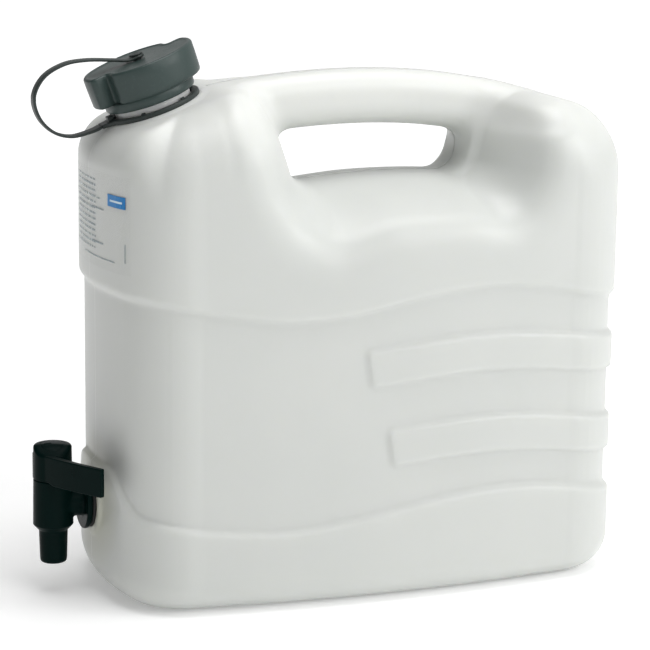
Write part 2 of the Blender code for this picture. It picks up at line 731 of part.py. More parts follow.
def main():
    clear_scene()
    parts = new_collection("water_canister")
    tools = new_collection("cutters")
    natural = material("natural_hdpe", (0.86, 0.88, 0.84), 0.38)
    grey = material("cap_polyethylene", (0.10, 0.13, 0.125), 0.42)
    dark = material("tap_polypropylene", (0.010, 0.022, 0.020), 0.35)
    rubber = material("rubber", (0.012, 0.012, 0.012), 0.7)
    foam = material("liner_foam", (0.85, 0.85, 0.82), 0.8)
    film = material("label_film", (0.80, 0.84, 0.84), 0.3)

    neck_axis = new_empty("neck_axis", (TANK_X + NECK_X, 0, SEAT_HEIGHT), (0, -NECK_TILT, 0),
                          parts)
    tap_axis = new_empty("tap_axis", (TANK_X + BOSS_FACE - TAP_REACH, 0, 0), (0, 0, 0), parts)
    build_tank(parts, tools, natural, neck_axis)
    build_cap(parts, tools, grey, foam, neck_axis)
    build_tether(parts, tools, grey, neck_axis)
    build_tap_housing(parts, tools, dark, tap_axis)
    build_gasket(parts, rubber, tap_axis)
    build_lever(parts, tools, dark, tap_axis)
    build_label(parts, film)
    for thing in parts.objects:
        if thing.type == "MESH":
            shade_round(thing)


main()
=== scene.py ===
"""Looks of a ten-litre water canister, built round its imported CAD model. Metres, +Z up.

The canister faces -X. Lengths along the tank are counted from the tank's middle, TANK_X.
"""
import json
import math

import bmesh
import bpy
import numpy as np
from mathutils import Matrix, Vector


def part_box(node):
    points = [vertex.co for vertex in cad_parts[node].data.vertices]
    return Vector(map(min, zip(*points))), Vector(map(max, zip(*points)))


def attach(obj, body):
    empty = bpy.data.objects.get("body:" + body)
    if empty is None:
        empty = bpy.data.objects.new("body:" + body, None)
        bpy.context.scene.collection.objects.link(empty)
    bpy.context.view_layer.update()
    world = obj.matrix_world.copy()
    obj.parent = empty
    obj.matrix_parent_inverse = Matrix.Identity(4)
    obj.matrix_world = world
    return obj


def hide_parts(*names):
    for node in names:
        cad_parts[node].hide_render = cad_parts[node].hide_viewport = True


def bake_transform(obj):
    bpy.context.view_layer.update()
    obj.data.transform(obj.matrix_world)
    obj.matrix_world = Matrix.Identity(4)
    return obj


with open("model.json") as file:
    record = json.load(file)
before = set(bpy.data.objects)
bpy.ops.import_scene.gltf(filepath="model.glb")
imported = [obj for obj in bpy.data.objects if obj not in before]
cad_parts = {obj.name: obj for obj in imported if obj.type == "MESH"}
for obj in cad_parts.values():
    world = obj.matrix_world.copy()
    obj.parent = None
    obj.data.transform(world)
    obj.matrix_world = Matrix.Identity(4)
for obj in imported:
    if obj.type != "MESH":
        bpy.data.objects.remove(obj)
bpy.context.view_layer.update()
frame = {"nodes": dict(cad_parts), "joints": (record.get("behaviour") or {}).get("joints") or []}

import openvdb
from mathutils import Matrix, Vector

JOINTS = {joint["name"]: joint for joint in frame["joints"]}

# Driving dimensions, the CAD's own or a little refined from them ---------------------------------
TANK_LENGTH = 0.320         # front to back of the recessed waist
TANK_WIDTH = 0.1606         # side to side of the recessed waist
CORNER_RADIUS = 0.050       # upright corners, seen from above
SIDE_CROWN = 0.0071         # how far the broad sides bow out
END_CROWN = 0.0034          # how far the front and back bow out
BAND = 0.0032               # how far the bands stand proud of the waist
BASE_RADIUS = 0.0225        # rounding between the walls and the base
TOP_RADIUS = 0.0427         # rounding between the broad sides and the ridge
TOP_RADIUS_FRONT = 0.0171
TOP_RADIUS_BACK = 0.0300
CREST_HEIGHT = 0.3103       # top of the handle
CREST_X = 0.005             # where the handle is highest
HANDLE_WIDTH = 0.035
HANDLE_DEPTH = 0.033
HANDLE_EDGE = 0.013         # rounding of the grip's edges
HANDLE_X = 0.014            # middle of the grip's length
HANDLE_HALF = 0.104         # half of the grip's length, with the ends that lie in the tank
FLARE_RADIUS = 0.121        # sweep of the finger space from the middle out to the sides
FINGER_FLOOR = 0.2477       # highest point of the finger space's arched floor
FINGER_ROUND = 0.011        # rounding between the finger space's floor and its ends
RIB_HEIGHT = 0.024
RIB_PROUD = BAND - 0.0005
RIBS = (                    # front end, height, slope to the back, start of the wave
    (-0.0185, 0.1440, 0.011, 0.055),
    (-0.0045, 0.0953, 0.031, 0.048))
GROOVES = (-0.0945, 0.0970)  # channels across the base
GROOVE_RADIUS = 0.027
GROOVE_DEPTH = 0.002
SEAM_X = 0.132              # where the parting line's ridge ends: behind the handle,
SEAM_LOW = 0.228            # under the finger space,
SEAM_NECK = 0.034           # and at this distance from the neck's axis
NECK_RADIUS = 0.0230
NECK_BORE = 0.0195
NECK_HEIGHT = 0.0255
NECK_ROOT = 0.012           # how far the neck's wall and the step round it reach down
NECK_HOLE = 0.0212          # hole in the tank's skin, hidden in the neck's wall
SEAT_RADIUS = 0.0300        # step round the neck, where the tether's ring lies
THREAD_PITCH = 0.0040
THREAD_PROUD = 0.0006
CAP_RADIUS = 0.0282
CAP_LOBE = 0.0063           # how far a finger lobe stands out of the cap
CAP_NOTCH = 0.0030          # how far the notch behind a lobe goes in
CAP_TOP = 0.0310            # above the neck's seat
CAP_DISH = 0.0005           # how much lower the middle of the top is than its rim
CAP_SHOULDER = 0.0125       # where the narrow skirt meets the wide part
CAP_SKIRT = 0.0068          # the skirt's lower edge
CAP_INSIDE = 0.0238
CAP_ROOF = 0.0032
STEM_RADIUS = 0.0022        # the button's stem
BUTTON_RADIUS = 0.0042
RING_INNER = 0.0240
RING_OUTER = 0.0282
RING_THICK = 0.0030
TAB_REACH = 0.0060          # how far the ring's tab stands out towards the strap
BLOCK_TOP = 0.0057          # top of the stop block on the ring
STRAP_WIDTH = 0.0080
STRAP_THICK = 0.0019
STRAP_EYE = 0.0047          # radius of the strap's round end, on the button's stem
STRAP_REACH = 0.1965        # from the tank's middle to the front of the strap's loop
TAP_HEIGHT = 0.056          # inlet axis above the base
BARREL_TOP = 0.0705
BARREL_FOOT = 0.0427
BARREL_RADIUS = 0.0116
SPOUT_RADIUS = 0.0084
SPOUT_FOOT = 0.0193
SPOUT_BORE = 0.0060
SPOUT_BORE_TOP = 0.0500
WELL_FOOT = 0.0450          # bottom of the barrel's well for the plug
INLET_RADIUS = 0.0095
INLET_BORE = 0.0075
INLET_REACH = 0.015         # how far the inlet tube goes into the tank
FLANGE_RADIUS = 0.0175
FLANGE_THICK = 0.0030
BOSS_RADIUS = 0.0197        # the tank's flat pad under the gasket
BOSS_DEPTH = 0.006
GASKET_THICK = 0.0022
PLUG_RADIUS = 0.0086
PLUG_FOOT = 0.0453
PORT_RADIUS = 0.0050        # the plug's side port
HOLLOW_TOP = 0.0660         # top of the plug's hollow
LEVER_TOP = 0.0912
MARK_HEIGHT = 0.0003        # depth of the hub's ring and height of its pointer bar
ARM_TOP = 0.0866
ARM_THICK = 0.0042
LABEL_HALF = 0.0565         # half the film's width round the front
LABEL_LOW = 0.200
LABEL_HIGH = 0.256
LABEL_THICK = 0.00012
GAP = 0.0003                # clearance between pieces that touch

# Grid steps of the surfaces that are made from a formula
TANK_VOXEL = 0.0021
SEAM_VOXEL = 0.0006
NECK_VOXEL = 0.0007
RING_VOXEL = 0.0004
TAP_VOXEL = 0.0005

TANK_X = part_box("canister_body")[1].x - TANK_LENGTH / 2 - BAND
NECK = Vector(JOINTS["tether_swivel"]["pos_m"])
NECK_UP = Vector(JOINTS["tether_swivel"]["axis"]).normalized()
NECK_TILT = math.atan2(-NECK_UP.x, NECK_UP.z)
NECK_X = NECK.x - TANK_X
SEAT_HEIGHT = NECK.z
TAP = Vector((*JOINTS["tap_turn"]["pos_m"][:2], 0.0))
BOSS_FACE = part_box("canister_body")[0].x - TANK_X
TAP_REACH = BOSS_FACE + TANK_X - TAP.x
GASKET_FACE = TAP_REACH - GAP - GASKET_THICK
NECK_PLACE = Matrix.Translation(NECK) @ Matrix.Rotation(-NECK_TILT, 4, "Y")
TAP_PLACE = Matrix.Translation(TAP)
TANK_PLACE = Matrix.Translation((TANK_X, 0, 0))


# Helpers -----------------------------------------------------------------------------------------
def smoothstep(low, high, value):
    t = np.clip((value - low) / (high - low), 0.0, 1.0)
    return t * t * (3 - 2 * t)


def mix(a, b, share):
    return a + (b - a) * share


def round_max(a, b, radius):
    """Intersection of two solids whose common edge is rounded to radius."""
    u, v = a + radius, b + radius
    return np.minimum(np.maximum(u, v), 0) + np.hypot(np.maximum(u, 0), np.maximum(v, 0)) - radius


def soft_max(a, b, width):
    """Intersection of two solids, eased over width to each side of their common edge."""
    near = np.maximum(width - np.abs(a - b), 0) / width
    return np.maximum(a, b) + near * near * width / 4


def soft_min(a, b, width):
    """Union of two solids with a fillet."""
    return -soft_max(-a, -b, width)


def new_object(name, points, faces, place):
    """A smooth mesh with its points moved to place and its faces turned outwards."""
    mesh = bpy.data.meshes.new(name)
    mesh.from_pydata([place @ Vector(p) for p in points], [], faces)
    shape = bmesh.new()
    shape.from_mesh(mesh)
    bmesh.ops.remove_doubles(shape, verts=shape.verts, dist=2e-6)
    bmesh.ops.recalc_face_normals(shape, faces=shape.faces)
    shape.to_mesh(mesh)
    shape.free()
    mesh.shade_smooth()
    thing = bpy.data.objects.new(name, mesh)
    bpy.context.scene.collection.objects.link(thing)
    return thing


def finish_piece(thing, body, mat, node=None):
    """Gives a piece its material and slot, hides its CAD part and hangs it on the body it rides on.
    """
    thing.data.materials.append(mat)
    if node:
        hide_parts(node)
    if body:
        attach(thing, body)


def loft(name, rings, place, looped=False):
    """Rings of points joined in turn; the last joins the first if looped, or both are closed."""
    count = len(rings[0])
    points = [p for ring in rings for p in ring]
    faces = []
    for row in range(len(rings) - (0 if looped else 1)):
        near = row * count
        far = (row + 1) % len(rings) * count
        for i in range(count):
            j = (i + 1) % count
            faces.append((near + i, near + j, far + j, far + i))
    if not looped:
        faces.append(tuple(range(count)))
        faces.append(tuple(range(len(points) - count, len(points))))
    return new_object(name, points, faces, place)


def turned(name, profile, place, steps, looped=False):
    """A profile of (radius, height) points turned about the Z axis of place."""
    turns = [2 * math.pi * i / steps for i in range(steps)]
    rings = [[(r * math.cos(a), r * math.sin(a), z) for a in turns] for r, z in profile]
    return loft(name, rings, place, looped)


def outline_distance(corners, x, y):
    """Signed distance outside a closed outline in the plane."""
    x, y = np.broadcast_arrays(x, y)
    corners = np.array(corners)
    nearest = np.full(x.shape, 1.0)
    inside = np.zeros(x.shape, bool)
    for (ax, ay), (bx, by) in zip(corners, np.roll(corners, -1, 0)):
        ex, ey = bx - ax, by - ay
        share = np.clip(((x - ax) * ex + (y - ay) * ey) / (ex * ex + ey * ey), 0, 1)
        gap = (x - ax - share * ex) ** 2 + (y - ay - share * ey) ** 2
        nearest = np.minimum(nearest, gap)
        if ey:
            inside ^= ((ay > y) != (by > y)) & (x < ax + (y - ay) * ex / ey)
    return np.where(inside, -1, 1) * np.sqrt(nearest)


def zero_surface(field, low, high, voxel):
    """Points and quads of a field's zero surface, pulled exactly onto it."""
    low, high = np.array(low) - 3 * voxel, np.array(high) + 3 * voxel
    count = np.ceil((high - low) / voxel).astype(int) + 1
    x, y, z = (low[i] + voxel * np.arange(count[i]) for i in range(3))
    values = field(x[:, None, None], y[None, :, None], z[None, None, :])
    grid = openvdb.FloatGrid(voxel * 8)
    grid.copyFromArray(np.array(np.broadcast_to(values, count), dtype=np.float64, order="C"))
    grid.transform = openvdb.createLinearTransform(voxelSize=voxel)
    points, quads = grid.convertToQuads(isovalue=0.0)
    points = np.asarray(points, float) + low
    for _ in range(3):
        points = pull_to_surface(field, points, voxel)
    return points, quads


def pull_to_surface(field, points, voxel):
    """One step down each point's slope towards the zero surface, of at most half a voxel."""
    reach = voxel / 10
    x, y, z = points.T
    slope = np.stack([
        field(x + reach, y, z) - field(x - reach, y, z),
        field(x, y + reach, z) - field(x, y - reach, z),
        field(x, y, z + reach) - field(x, y, z - reach)], 1) / (2 * reach)
    steep = np.maximum((slope * slope).sum(1), 0.25)
    move = slope * (field(x, y, z) / steep)[:, None]
    length = np.linalg.norm(move, axis=1)[:, None]
    return points - move * np.minimum(1, voxel / 2 / np.maximum(length, 1e-9))


def field_object(name, field, low, high, voxel, place):
    points, quads = zero_surface(field, low, high, voxel)
    return new_object(name, points.tolist(), quads.tolist(), place)


# The tank's skin ---------------------------------------------------------------------------------
def waist_quarter(steps=40):
    """Points and outward normals round a quarter of the waist, from an end's middle to a side's."""
    half_x = TANK_LENGTH / 2 - CORNER_RADIUS
    half_y = TANK_WIDTH / 2 - CORNER_RADIUS
    t = np.linspace(0, 1, steps)
    end = np.stack([half_x - END_CROWN * t * t, half_y * t], 1)
    end_normal = np.stack([np.ones(steps), 2 * END_CROWN * t / half_y], 1)
    side = np.stack([half_x * t, half_y - SIDE_CROWN * t * t], 1)[::-1]
    side_normal = np.stack([2 * SIDE_CROWN * t / half_x, np.ones(steps)], 1)[::-1]
    low = math.atan2(end_normal[-1, 1], end_normal[-1, 0])
    high = math.atan2(side_normal[0, 1], side_normal[0, 0])
    turn = mix(low, high, t[1:-1])
    corner = end[-1] + np.outer(t[1:-1], side[0] - end[-1])
    corner_normal = np.stack([np.cos(turn), np.sin(turn)], 1)
    base = np.concatenate([end, corner, side])
    normal = np.concatenate([end_normal, corner_normal, side_normal])
    normal /= np.linalg.norm(normal, axis=1)[:, None]
    return base + normal * CORNER_RADIUS, normal


def plan_distance(x, y):
    """Distance outside the waist's outline, and the x part of the outline's normal there."""
    x, y = np.broadcast_arrays(x, y)
    points, normals = waist_quarter()
    along = np.gradient(points, axis=0)
    turn = np.gradient(np.arctan2(normals[:, 1], normals[:, 0]))
    curve = turn / np.linalg.norm(along, axis=1)
    spot = np.stack([np.abs(x), np.abs(y)], -1).reshape(-1, 2)
    nearest = np.empty(len(spot), int)
    batch = 20000
    for start in range(0, len(spot), batch):
        part = spot[start:start + batch]
        gap_x = part[:, None, 0] - points[None, :, 0]
        gap_y = part[:, None, 1] - points[None, :, 1]
        nearest[start:start + batch] = (gap_x ** 2 + gap_y ** 2).argmin(1)
    away = spot - points[nearest]
    normal = normals[nearest]
    out = (away * normal).sum(1)
    sideways = away[:, 1] * normal[:, 0] - away[:, 0] * normal[:, 1]
    bend = curve[nearest] / (1 + np.maximum(curve[nearest] * out, -0.9))
    distance = out + bend * sideways ** 2 / 2
    facing = (normal[:, 0] - curve[nearest] * sideways * normal[:, 1]) * np.sign(x).ravel()
    return distance.reshape(x.shape), facing.reshape(x.shape)


def crest(x):
    """Height of the tank's ridge."""
    seat = SEAT_HEIGHT + math.tan(NECK_TILT) * (x - NECK_X)
    fall = np.where(x < CREST_X, 0.90, 1.25)
    arch = CREST_HEIGHT - fall * (x - CREST_X) ** 2
    return mix(seat, arch, smoothstep(-0.103, -0.083, x))


def above_crest(x, z):
    """Distance above the ridge's surface."""
    step = 0.001
    slope = (crest(x + step) - crest(x - step)) / (2 * step)
    return (z - crest(x)) / np.sqrt(1 + slope * slope)


def wave(x, height, start, length):
    """The swing of a band's edge or a rib along the tank."""
    return height * np.cos(2 * np.pi * (x + start) / length)


def growth(x, y, z):
    """How far the bands and the grip ribs stand out of the waist."""
    upper_edge = 0.178 - wave(x, 0.0075, 0.058, 0.236)
    lower_edge = 0.0558 - wave(x, 0.008, 0.072, 0.282)
    arch = 0.022 * (1 - smoothstep(0.026, 0.062, np.abs(y))) * (1 - smoothstep(-0.155, -0.135, x))
    upper = smoothstep(-0.0006, 0.0050, z - upper_edge)
    lower = 1 - smoothstep(-0.0022, 0.0020, z - lower_edge - arch)
    ribs = 0.0
    for start, level, fall, wave_start in RIBS:
        middle = level - fall * x - wave(x, 0.0045, wave_start, 0.236)
        front = (start + 0.16 * (middle - z) - x) * 0.7
        outside = round_max(front, np.abs(z - middle) - RIB_HEIGHT / 2, 0.004)
        proud = RIB_PROUD * mix(0.6, 1.0, smoothstep(start, start + 0.05, x))
        ribs = ribs + proud * (1 - smoothstep(-0.0026, 0.0004, outside))
    return BAND * np.maximum(upper, lower) + ribs


# The finger space's two ends in the parting plane, as (x, z) points
FINGER_LEFT = ((-0.040, 0.235), (-0.0440, 0.2475), (-0.0465, 0.256), (-0.053, 0.275),
               (-0.0665, 0.297), (-0.082, 0.320), (-0.092, 0.345))
FINGER_RIGHT = ((0.0640, 0.235), (0.0655, 0.2475), (0.0675, 0.257), (0.0720, 0.275),
                (0.082, 0.293), (0.099, 0.306), (0.135, 0.325), (0.170, 0.345))


def wall_line(points, z):
    """x of one end of the finger space at height z, and the line's slope."""
    levels = np.array([p[1] for p in points])
    places = np.array([p[0] for p in points])
    fine = np.linspace(levels[0], levels[-1], 240)
    path = np.interp(fine, levels, places)
    for _ in range(60):
        path[1:-1] = (path[:-2] + 2 * path[1:-1] + path[2:]) / 4
    slope = np.gradient(path, fine)
    return np.interp(z, fine, path), np.interp(z, fine, slope)


def finger_space(x, y, z):
    """Distance outside the space under and beside the handle, which flares towards the sides."""
    reach = np.minimum(np.abs(y), 0.1)
    root = np.sqrt(FLARE_RADIUS ** 2 - reach ** 2)
    flare = FLARE_RADIUS - root
    steep = np.sqrt(1 + (reach / root) ** 2)
    left, left_slope = wall_line(FINGER_LEFT, z)
    right, right_slope = wall_line(FINGER_RIGHT, z)
    before = (left - x) / np.sqrt(1 + left_slope ** 2)
    rim = 0.0035 * smoothstep(0.0185, 0.0255, reach)
    behind = (x - right) / np.sqrt(1 + right_slope ** 2) - 0.15 * flare - rim
    lift = 0.28 * (1 - smoothstep(0.020, 0.062, np.abs(x - 0.026)))
    floor = FINGER_FLOOR - 0.95 * (x - 0.028) ** 2 - z + lift * flare
    ends = np.maximum(before, behind)
    return (round_max(floor, ends, FINGER_ROUND) - flare) / steep


def handle(x, y, z):
    """Distance outside the grip, a rounded bar just below the ridge."""
    sink = 0.006 * (1 - smoothstep(-0.098, -0.074, x)) + 0.006 * smoothstep(0.088, 0.114, x)
    level = above_crest(x, z) + HANDLE_DEPTH / 2 + sink
    across = np.abs(y) - HANDLE_WIDTH / 2 + HANDLE_EDGE
    deep = np.abs(level) - HANDLE_DEPTH / 2 + HANDLE_EDGE
    bar = np.hypot(np.maximum(across, 0), np.maximum(deep, 0)) - HANDLE_EDGE
    bar = bar + np.minimum(np.maximum(across, deep), 0)
    return np.maximum(bar, np.abs(x - HANDLE_X) - HANDLE_HALF)


def neck_polar(x, y, z):
    """Distance from the neck's axis and height above its seat."""
    away_x, away_z = x - NECK_X, z - SEAT_HEIGHT
    height = -math.sin(NECK_TILT) * away_x + math.cos(NECK_TILT) * away_z
    along = math.cos(NECK_TILT) * away_x + math.sin(NECK_TILT) * away_z
    return np.hypot(along, y), height


def tank_skin(x, y, z):
    """Distance outside the tank, near enough for placing its surface."""
    plan, facing = plan_distance(x, y)
    wall = plan - growth(x, y, z)
    ease = mix(TOP_RADIUS, TOP_RADIUS_FRONT, smoothstep(0.55, 0.97, -facing))
    ease = mix(ease, TOP_RADIUS_BACK, smoothstep(0.35, 0.97, facing))
    body = round_max(wall, above_crest(x, z), ease)
    body = round_max(body, -z, BASE_RADIUS)
    body = soft_max(body, -finger_space(x, y, z), 0.013)
    body = soft_min(body, handle(x, y, z), 0.013)
    body = soft_max(body, above_crest(x, z), 0.0015)
    radius, height = neck_polar(x, y, z)
    step = np.maximum(height + 0.0002, -height - NECK_ROOT)
    step = round_max(radius - SEAT_RADIUS, step, 0.0012)
    body = soft_min(body, step, 0.004)
    hole = np.maximum(radius - NECK_HOLE, -height - 0.030)
    body = np.maximum(body, -hole)
    tap_radius = np.hypot(y, z - TAP_HEIGHT)
    pad = np.maximum(BOSS_FACE - x, x - BOSS_FACE - BOSS_DEPTH)
    pad = round_max(tap_radius - BOSS_RADIUS, pad, 0.0008)
    body = soft_min(body, pad, 0.004)
    for groove in GROOVES:
        channel = np.hypot(x - groove, z - GROOVE_DEPTH + GROOVE_RADIUS) - GROOVE_RADIUS
        body = soft_max(body, -channel, 0.0015)
    return body


TANK_LOW = (-TANK_LENGTH / 2 - BAND, -TANK_WIDTH / 2 - BAND, 0.0)
TANK_HIGH = (TANK_LENGTH / 2 + BAND, TANK_WIDTH / 2 + BAND, CREST_HEIGHT)


def build_tank():
    mat = natural_plastic()
    tank = field_object("tank", tank_skin, TANK_LOW, TANK_HIGH, TANK_VOXEL, TANK_PLACE)
    finish_piece(tank, "canister", mat, "canister_body")
    reach = NECK_RADIUS + 0.001
    seam = field_object("parting_line", seam_ridge, (-0.112, -0.0010, 0.225),
                        (0.135, 0.0010, CREST_HEIGHT + 0.0006), SEAM_VOXEL, TANK_PLACE)
    finish_piece(seam, "canister", mat)
    neck = field_object("neck", neck_tube, (-reach, -reach, -NECK_ROOT),
                        (reach, reach, NECK_HEIGHT), NECK_VOXEL, NECK_PLACE)
    finish_piece(neck, "canister", mat)


def seam_ridge(x, y, z):
    """The parting line's thin ridge round the handle and its opening."""
    skin = tank_skin(x, y * 0, z)
    ridge = round_max(np.abs(y) - 0.0005, np.abs(skin) - 0.0004, 0.0003)
    radius, _ = neck_polar(x, y * 0, z)
    ends = np.maximum(np.maximum(x - SEAM_X, SEAM_LOW - z), SEAM_NECK - radius)
    return np.maximum(ridge, ends)


def neck_tube(x, y, z):
    """The neck with its external thread."""
    radius = np.hypot(x, y)
    middle = (NECK_RADIUS + NECK_BORE) / 2
    wall = np.abs(radius - middle) - (NECK_RADIUS - NECK_BORE) / 2
    tube = round_max(wall, np.maximum(z - NECK_HEIGHT, -NECK_ROOT - z), 0.0008)
    turn = (z / THREAD_PITCH - np.arctan2(y, x) / (2 * np.pi)) % 1.0
    away = np.abs(turn - 0.5) * THREAD_PITCH
    ends = smoothstep(0.0075, 0.0095, z) * (1 - smoothstep(0.0200, 0.0220, z))
    ridge = THREAD_PROUD * (1 - smoothstep(0.0003, 0.0011, away)) * ends
    return tube - ridge * smoothstep(middle, NECK_RADIUS, radius)


# Cap ---------------------------------------------------------------------------------------------
def cap_radius(turn):
    """A lobe swells slowly to its rounded nose at 17 to 24 degrees; a notch follows the nose."""
    past = min(max(turn - 17.0, 0) / 7.0, 1.0)
    lobe = CAP_LOBE * smoothstep(-75.0, 12.0, turn) * math.sqrt(1 - past ** 2)
    notch = CAP_NOTCH * smoothstep(22.5, 24.5, turn) * (1 - smoothstep(27.5, 42.0, turn))
    return CAP_RADIUS + lobe - notch


def cap_outline():
    """Plan of the cap, with two finger lobes, as evenly spaced points with outward normals."""
    count = 480
    turns = np.radians(np.arange(0, 180, 0.25))
    radii = [cap_radius(d if d < 100 else d - 180) for d in np.degrees(turns)]
    half = np.stack([radii * np.cos(turns), radii * np.sin(turns)], 1)
    loop = np.vstack([half, -half])
    closed = np.vstack([loop, loop[:1]])
    length = np.append(0, np.cumsum(np.linalg.norm(np.diff(closed, axis=0), axis=1)))
    even = np.linspace(0, length[-1], count, endpoint=False)
    loop = np.stack([np.interp(even, length, closed[:, i]) for i in (0, 1)], 1)
    for _ in range(3):
        loop = (np.roll(loop, 1, 0) + 2 * loop + np.roll(loop, -1, 0)) / 4
    along = np.roll(loop, -1, 0) - np.roll(loop, 1, 0)
    normal = np.stack([along[:, 1], -along[:, 0]], 1)
    return loop, normal / np.linalg.norm(normal, axis=1)[:, None]


# The cap's outside as (distance outside its plan, height), then its underside as (radius, height)
CAP_WALL = (
    (-0.0036, CAP_TOP - CAP_DISH), (-0.0030, CAP_TOP - 0.0003), (-0.0025, CAP_TOP),
    (-0.0016, CAP_TOP), (-0.0008, CAP_TOP - 0.0002), (-0.0003, CAP_TOP - 0.0007),
    (0.0, CAP_TOP - 0.0014), (0.0, 0.0240), (-0.0002, 0.0160), (-0.0003, CAP_SHOULDER + 0.0012),
    (-0.0006, CAP_SHOULDER + 0.0004), (-0.0012, CAP_SHOULDER))
CAP_UNDER = (
    (0.0270, CAP_SHOULDER), (0.0270, 0.0117), (0.0273, 0.0110), (0.0272, CAP_SKIRT + 0.0010),
    (0.0269, CAP_SKIRT + 0.0003), (0.0262, CAP_SKIRT), (CAP_INSIDE + 0.0004, CAP_SKIRT),
    (CAP_INSIDE, CAP_SKIRT + 0.0005), (CAP_INSIDE, 0.0272), (CAP_INSIDE - 0.0006, 0.0278),
    (0.0120, 0.0278), (0.0032, 0.0278), (STEM_RADIUS + GAP, 0.0281))


def build_cap():
    loop, normal = cap_outline()
    round_spot = loop / np.linalg.norm(loop, axis=1)[:, None]
    dish = CAP_TOP - CAP_DISH
    rings = [(round_spot * (STEM_RADIUS + GAP), dish - 0.0004), (round_spot * 0.0031, dish)]
    edge = loop + normal * CAP_WALL[0][0]
    for share in (0.12, 0.3, 0.5, 0.7, 0.88):
        rings.append((mix(round_spot * 0.0031, edge, share), dish))
    rings += [(loop + normal * offset, level) for offset, level in CAP_WALL]
    rings += [(round_spot * radius, level) for radius, level in CAP_UNDER]
    rings = [[(x, y, level) for x, y in spots] for spots, level in rings]
    cap = loft("cap", rings, NECK_PLACE, looped=True)
    finish_piece(cap, "cap", cap_plastic(), "screw_cap")


# Tether ------------------------------------------------------------------------------------------
def tether_ring(x, y, z):
    """The ring with its tab, the stop block at the tab's root and small lugs along its inside."""
    radius = np.hypot(x, y)
    middle = (RING_INNER + RING_OUTER) / 2
    level = np.abs(z - GAP - RING_THICK / 2)
    ring = round_max(np.abs(radius - middle) - (RING_OUTER - RING_INNER) / 2,
                     level - RING_THICK / 2, 0.0007)
    tip = -RING_OUTER - TAB_REACH
    flare = 0.0026 * smoothstep(tip, -RING_OUTER + 0.0020, x) ** 2
    tab = np.maximum(tip - x, x - tip - 0.0090)
    tab = round_max(tab, np.abs(y) - 0.0048 - flare, 0.0006)
    tab = round_max(tab, level - RING_THICK / 2 + 0.0003, 0.0005)
    body = soft_min(ring, tab, 0.0012)
    block = round_max(np.abs(x + 0.0272) - 0.0018, np.abs(y) - 0.0028, 0.0005)
    block = round_max(block, np.maximum(z - BLOCK_TOP, 0.0010 - z), 0.0004)
    body = soft_min(body, block, 0.0006)
    sixth = np.pi / 3
    turn = (np.arctan2(y, x) + sixth / 2) % sixth - sixth / 2
    lug = round_max(np.abs(radius - 0.0249) - 0.0007, np.abs(turn) * radius - 0.0013, 0.0003)
    lug = round_max(lug, np.maximum(z - 0.0042, 0.0010 - z), 0.0003)
    return soft_min(body, lug, 0.0004)


def strap_line():
    """Middle line of the strap in the parting plane, from the button round to the ring's tab."""
    up = Vector((-math.sin(NECK_TILT), math.cos(NECK_TILT)))
    back = Vector((math.cos(NECK_TILT), math.sin(NECK_TILT)))
    seat = Vector((NECK_X, SEAT_HEIGHT))
    button = seat + up * (CAP_TOP + GAP + STRAP_THICK / 2)
    tip = STRAP_REACH - STRAP_THICK / 2
    route = [button + back * 0.0046, button, button - back * 0.0060]
    route += [Vector(p) for p in ((-0.1490, 0.3178), (-0.1640, 0.3181), (-0.1775, 0.3160),
                                  (-0.1896, 0.3090), (-tip, 0.2975), (-0.1926, 0.2855),
                                  (-0.1842, 0.2770), (-0.1735, 0.2742))]
    end = seat + up * (GAP + RING_THICK / 2) - back * (RING_OUTER + TAB_REACH + GAP)
    route += [end - back * 0.006 - Vector((0, 0.0004)), end]
    line = []
    for i in range(len(route) - 1):
        near = (route[max(i - 1, 0)], route[i], route[i + 1], route[min(i + 2, len(route) - 1)])
        line += [catmull(*near, step / 8) for step in range(8)]
    line.append(route[-1])
    return [Vector((max(spot.x, -tip), spot.y)) for spot in line]


def catmull(a, b, c, d, t):
    return 0.5 * (2 * b + (c - a) * t + (2 * a - 5 * b + 4 * c - d) * t ** 2
                  + (3 * b - a - 3 * c + d) * t ** 3)


def strap_width(walked, left):
    """Width at a distance from the button's end: a round eye, an even band, a wider root."""
    if walked < STRAP_EYE:
        return 2 * math.sqrt(max(STRAP_EYE ** 2 - (STRAP_EYE - walked) ** 2, 1e-7))
    root = 0.0028 * (1 - float(smoothstep(0.0, 0.020, left)))
    narrowed = float(smoothstep(STRAP_EYE, STRAP_EYE + 0.0065, walked))
    return mix(2 * STRAP_EYE, STRAP_WIDTH, narrowed) + root


def build_strap():
    """The strap as a loft of rounded rectangles, which bends between the ring and the cap."""
    sides = 16
    line = strap_line()
    steps = [(b - a).length for a, b in zip(line, line[1:])]
    rings = []
    for i, spot in enumerate(line):
        along = (line[min(i + 1, len(line) - 1)] - line[max(i - 1, 0)]).normalized()
        width = strap_width(sum(steps[:i]), sum(steps[i:]))
        ring = []
        for turn in range(sides):
            angle = 2 * math.pi * (turn + 0.5) / sides
            across = math.copysign(abs(math.cos(angle)) ** 0.4, math.cos(angle))
            out = math.copysign(abs(math.sin(angle)) ** 0.6, math.sin(angle)) * STRAP_THICK / 2
            ring.append((spot.x - along.y * out, across * width / 2, spot.y + along.x * out))
        rings.append(ring)
    strap = loft("strap", rings, TANK_PLACE)
    cut_eye(strap)
    finish_piece(strap, None, tether_plastic(), "tether_strap")
    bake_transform(strap)


